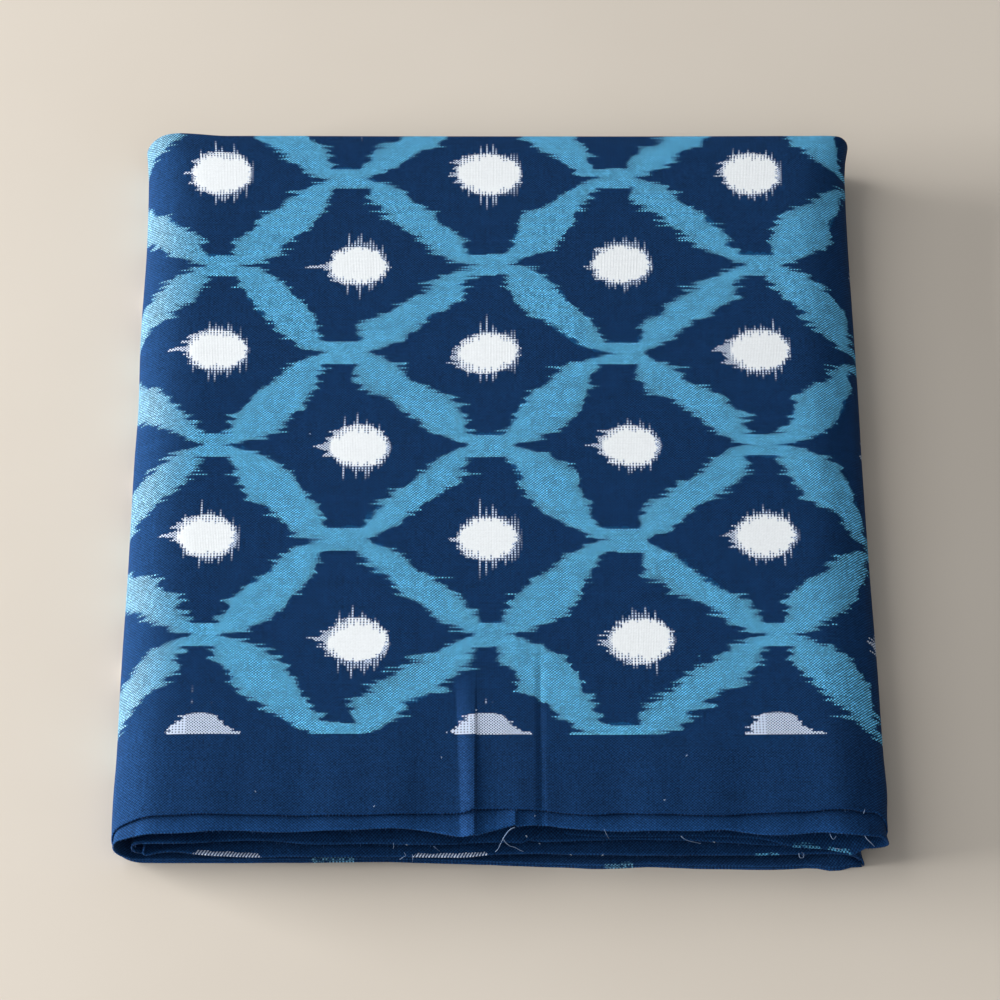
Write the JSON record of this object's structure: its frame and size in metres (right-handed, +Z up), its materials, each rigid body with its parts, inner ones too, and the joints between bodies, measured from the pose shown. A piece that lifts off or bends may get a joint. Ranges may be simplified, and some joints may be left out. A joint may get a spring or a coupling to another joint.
{
  "type": "folded ikat cloth",
  "caption": "A length of plain-woven cotton ikat cloth, folded in half and laid back and forth into a flat packet, with cut edges at the front and rounded folds at the sides.",
  "frame": {"origin": "middle of the packet's footprint, on the surface it rests on", "axes": "+Z up; +Y from the cut edges at the front to the half-fold at the back; +X to the right, seen from the front"},
  "size_m": [0.2368, 0.2885, 0.0199],
  "materials": {
    "cloth": "matte plain-woven cotton, navy ground with a light blue lattice and white dots in double ikat"
  },
  "bodies": {
    "root": {"cloth": "cloth"}
  },
  "joints": []
}
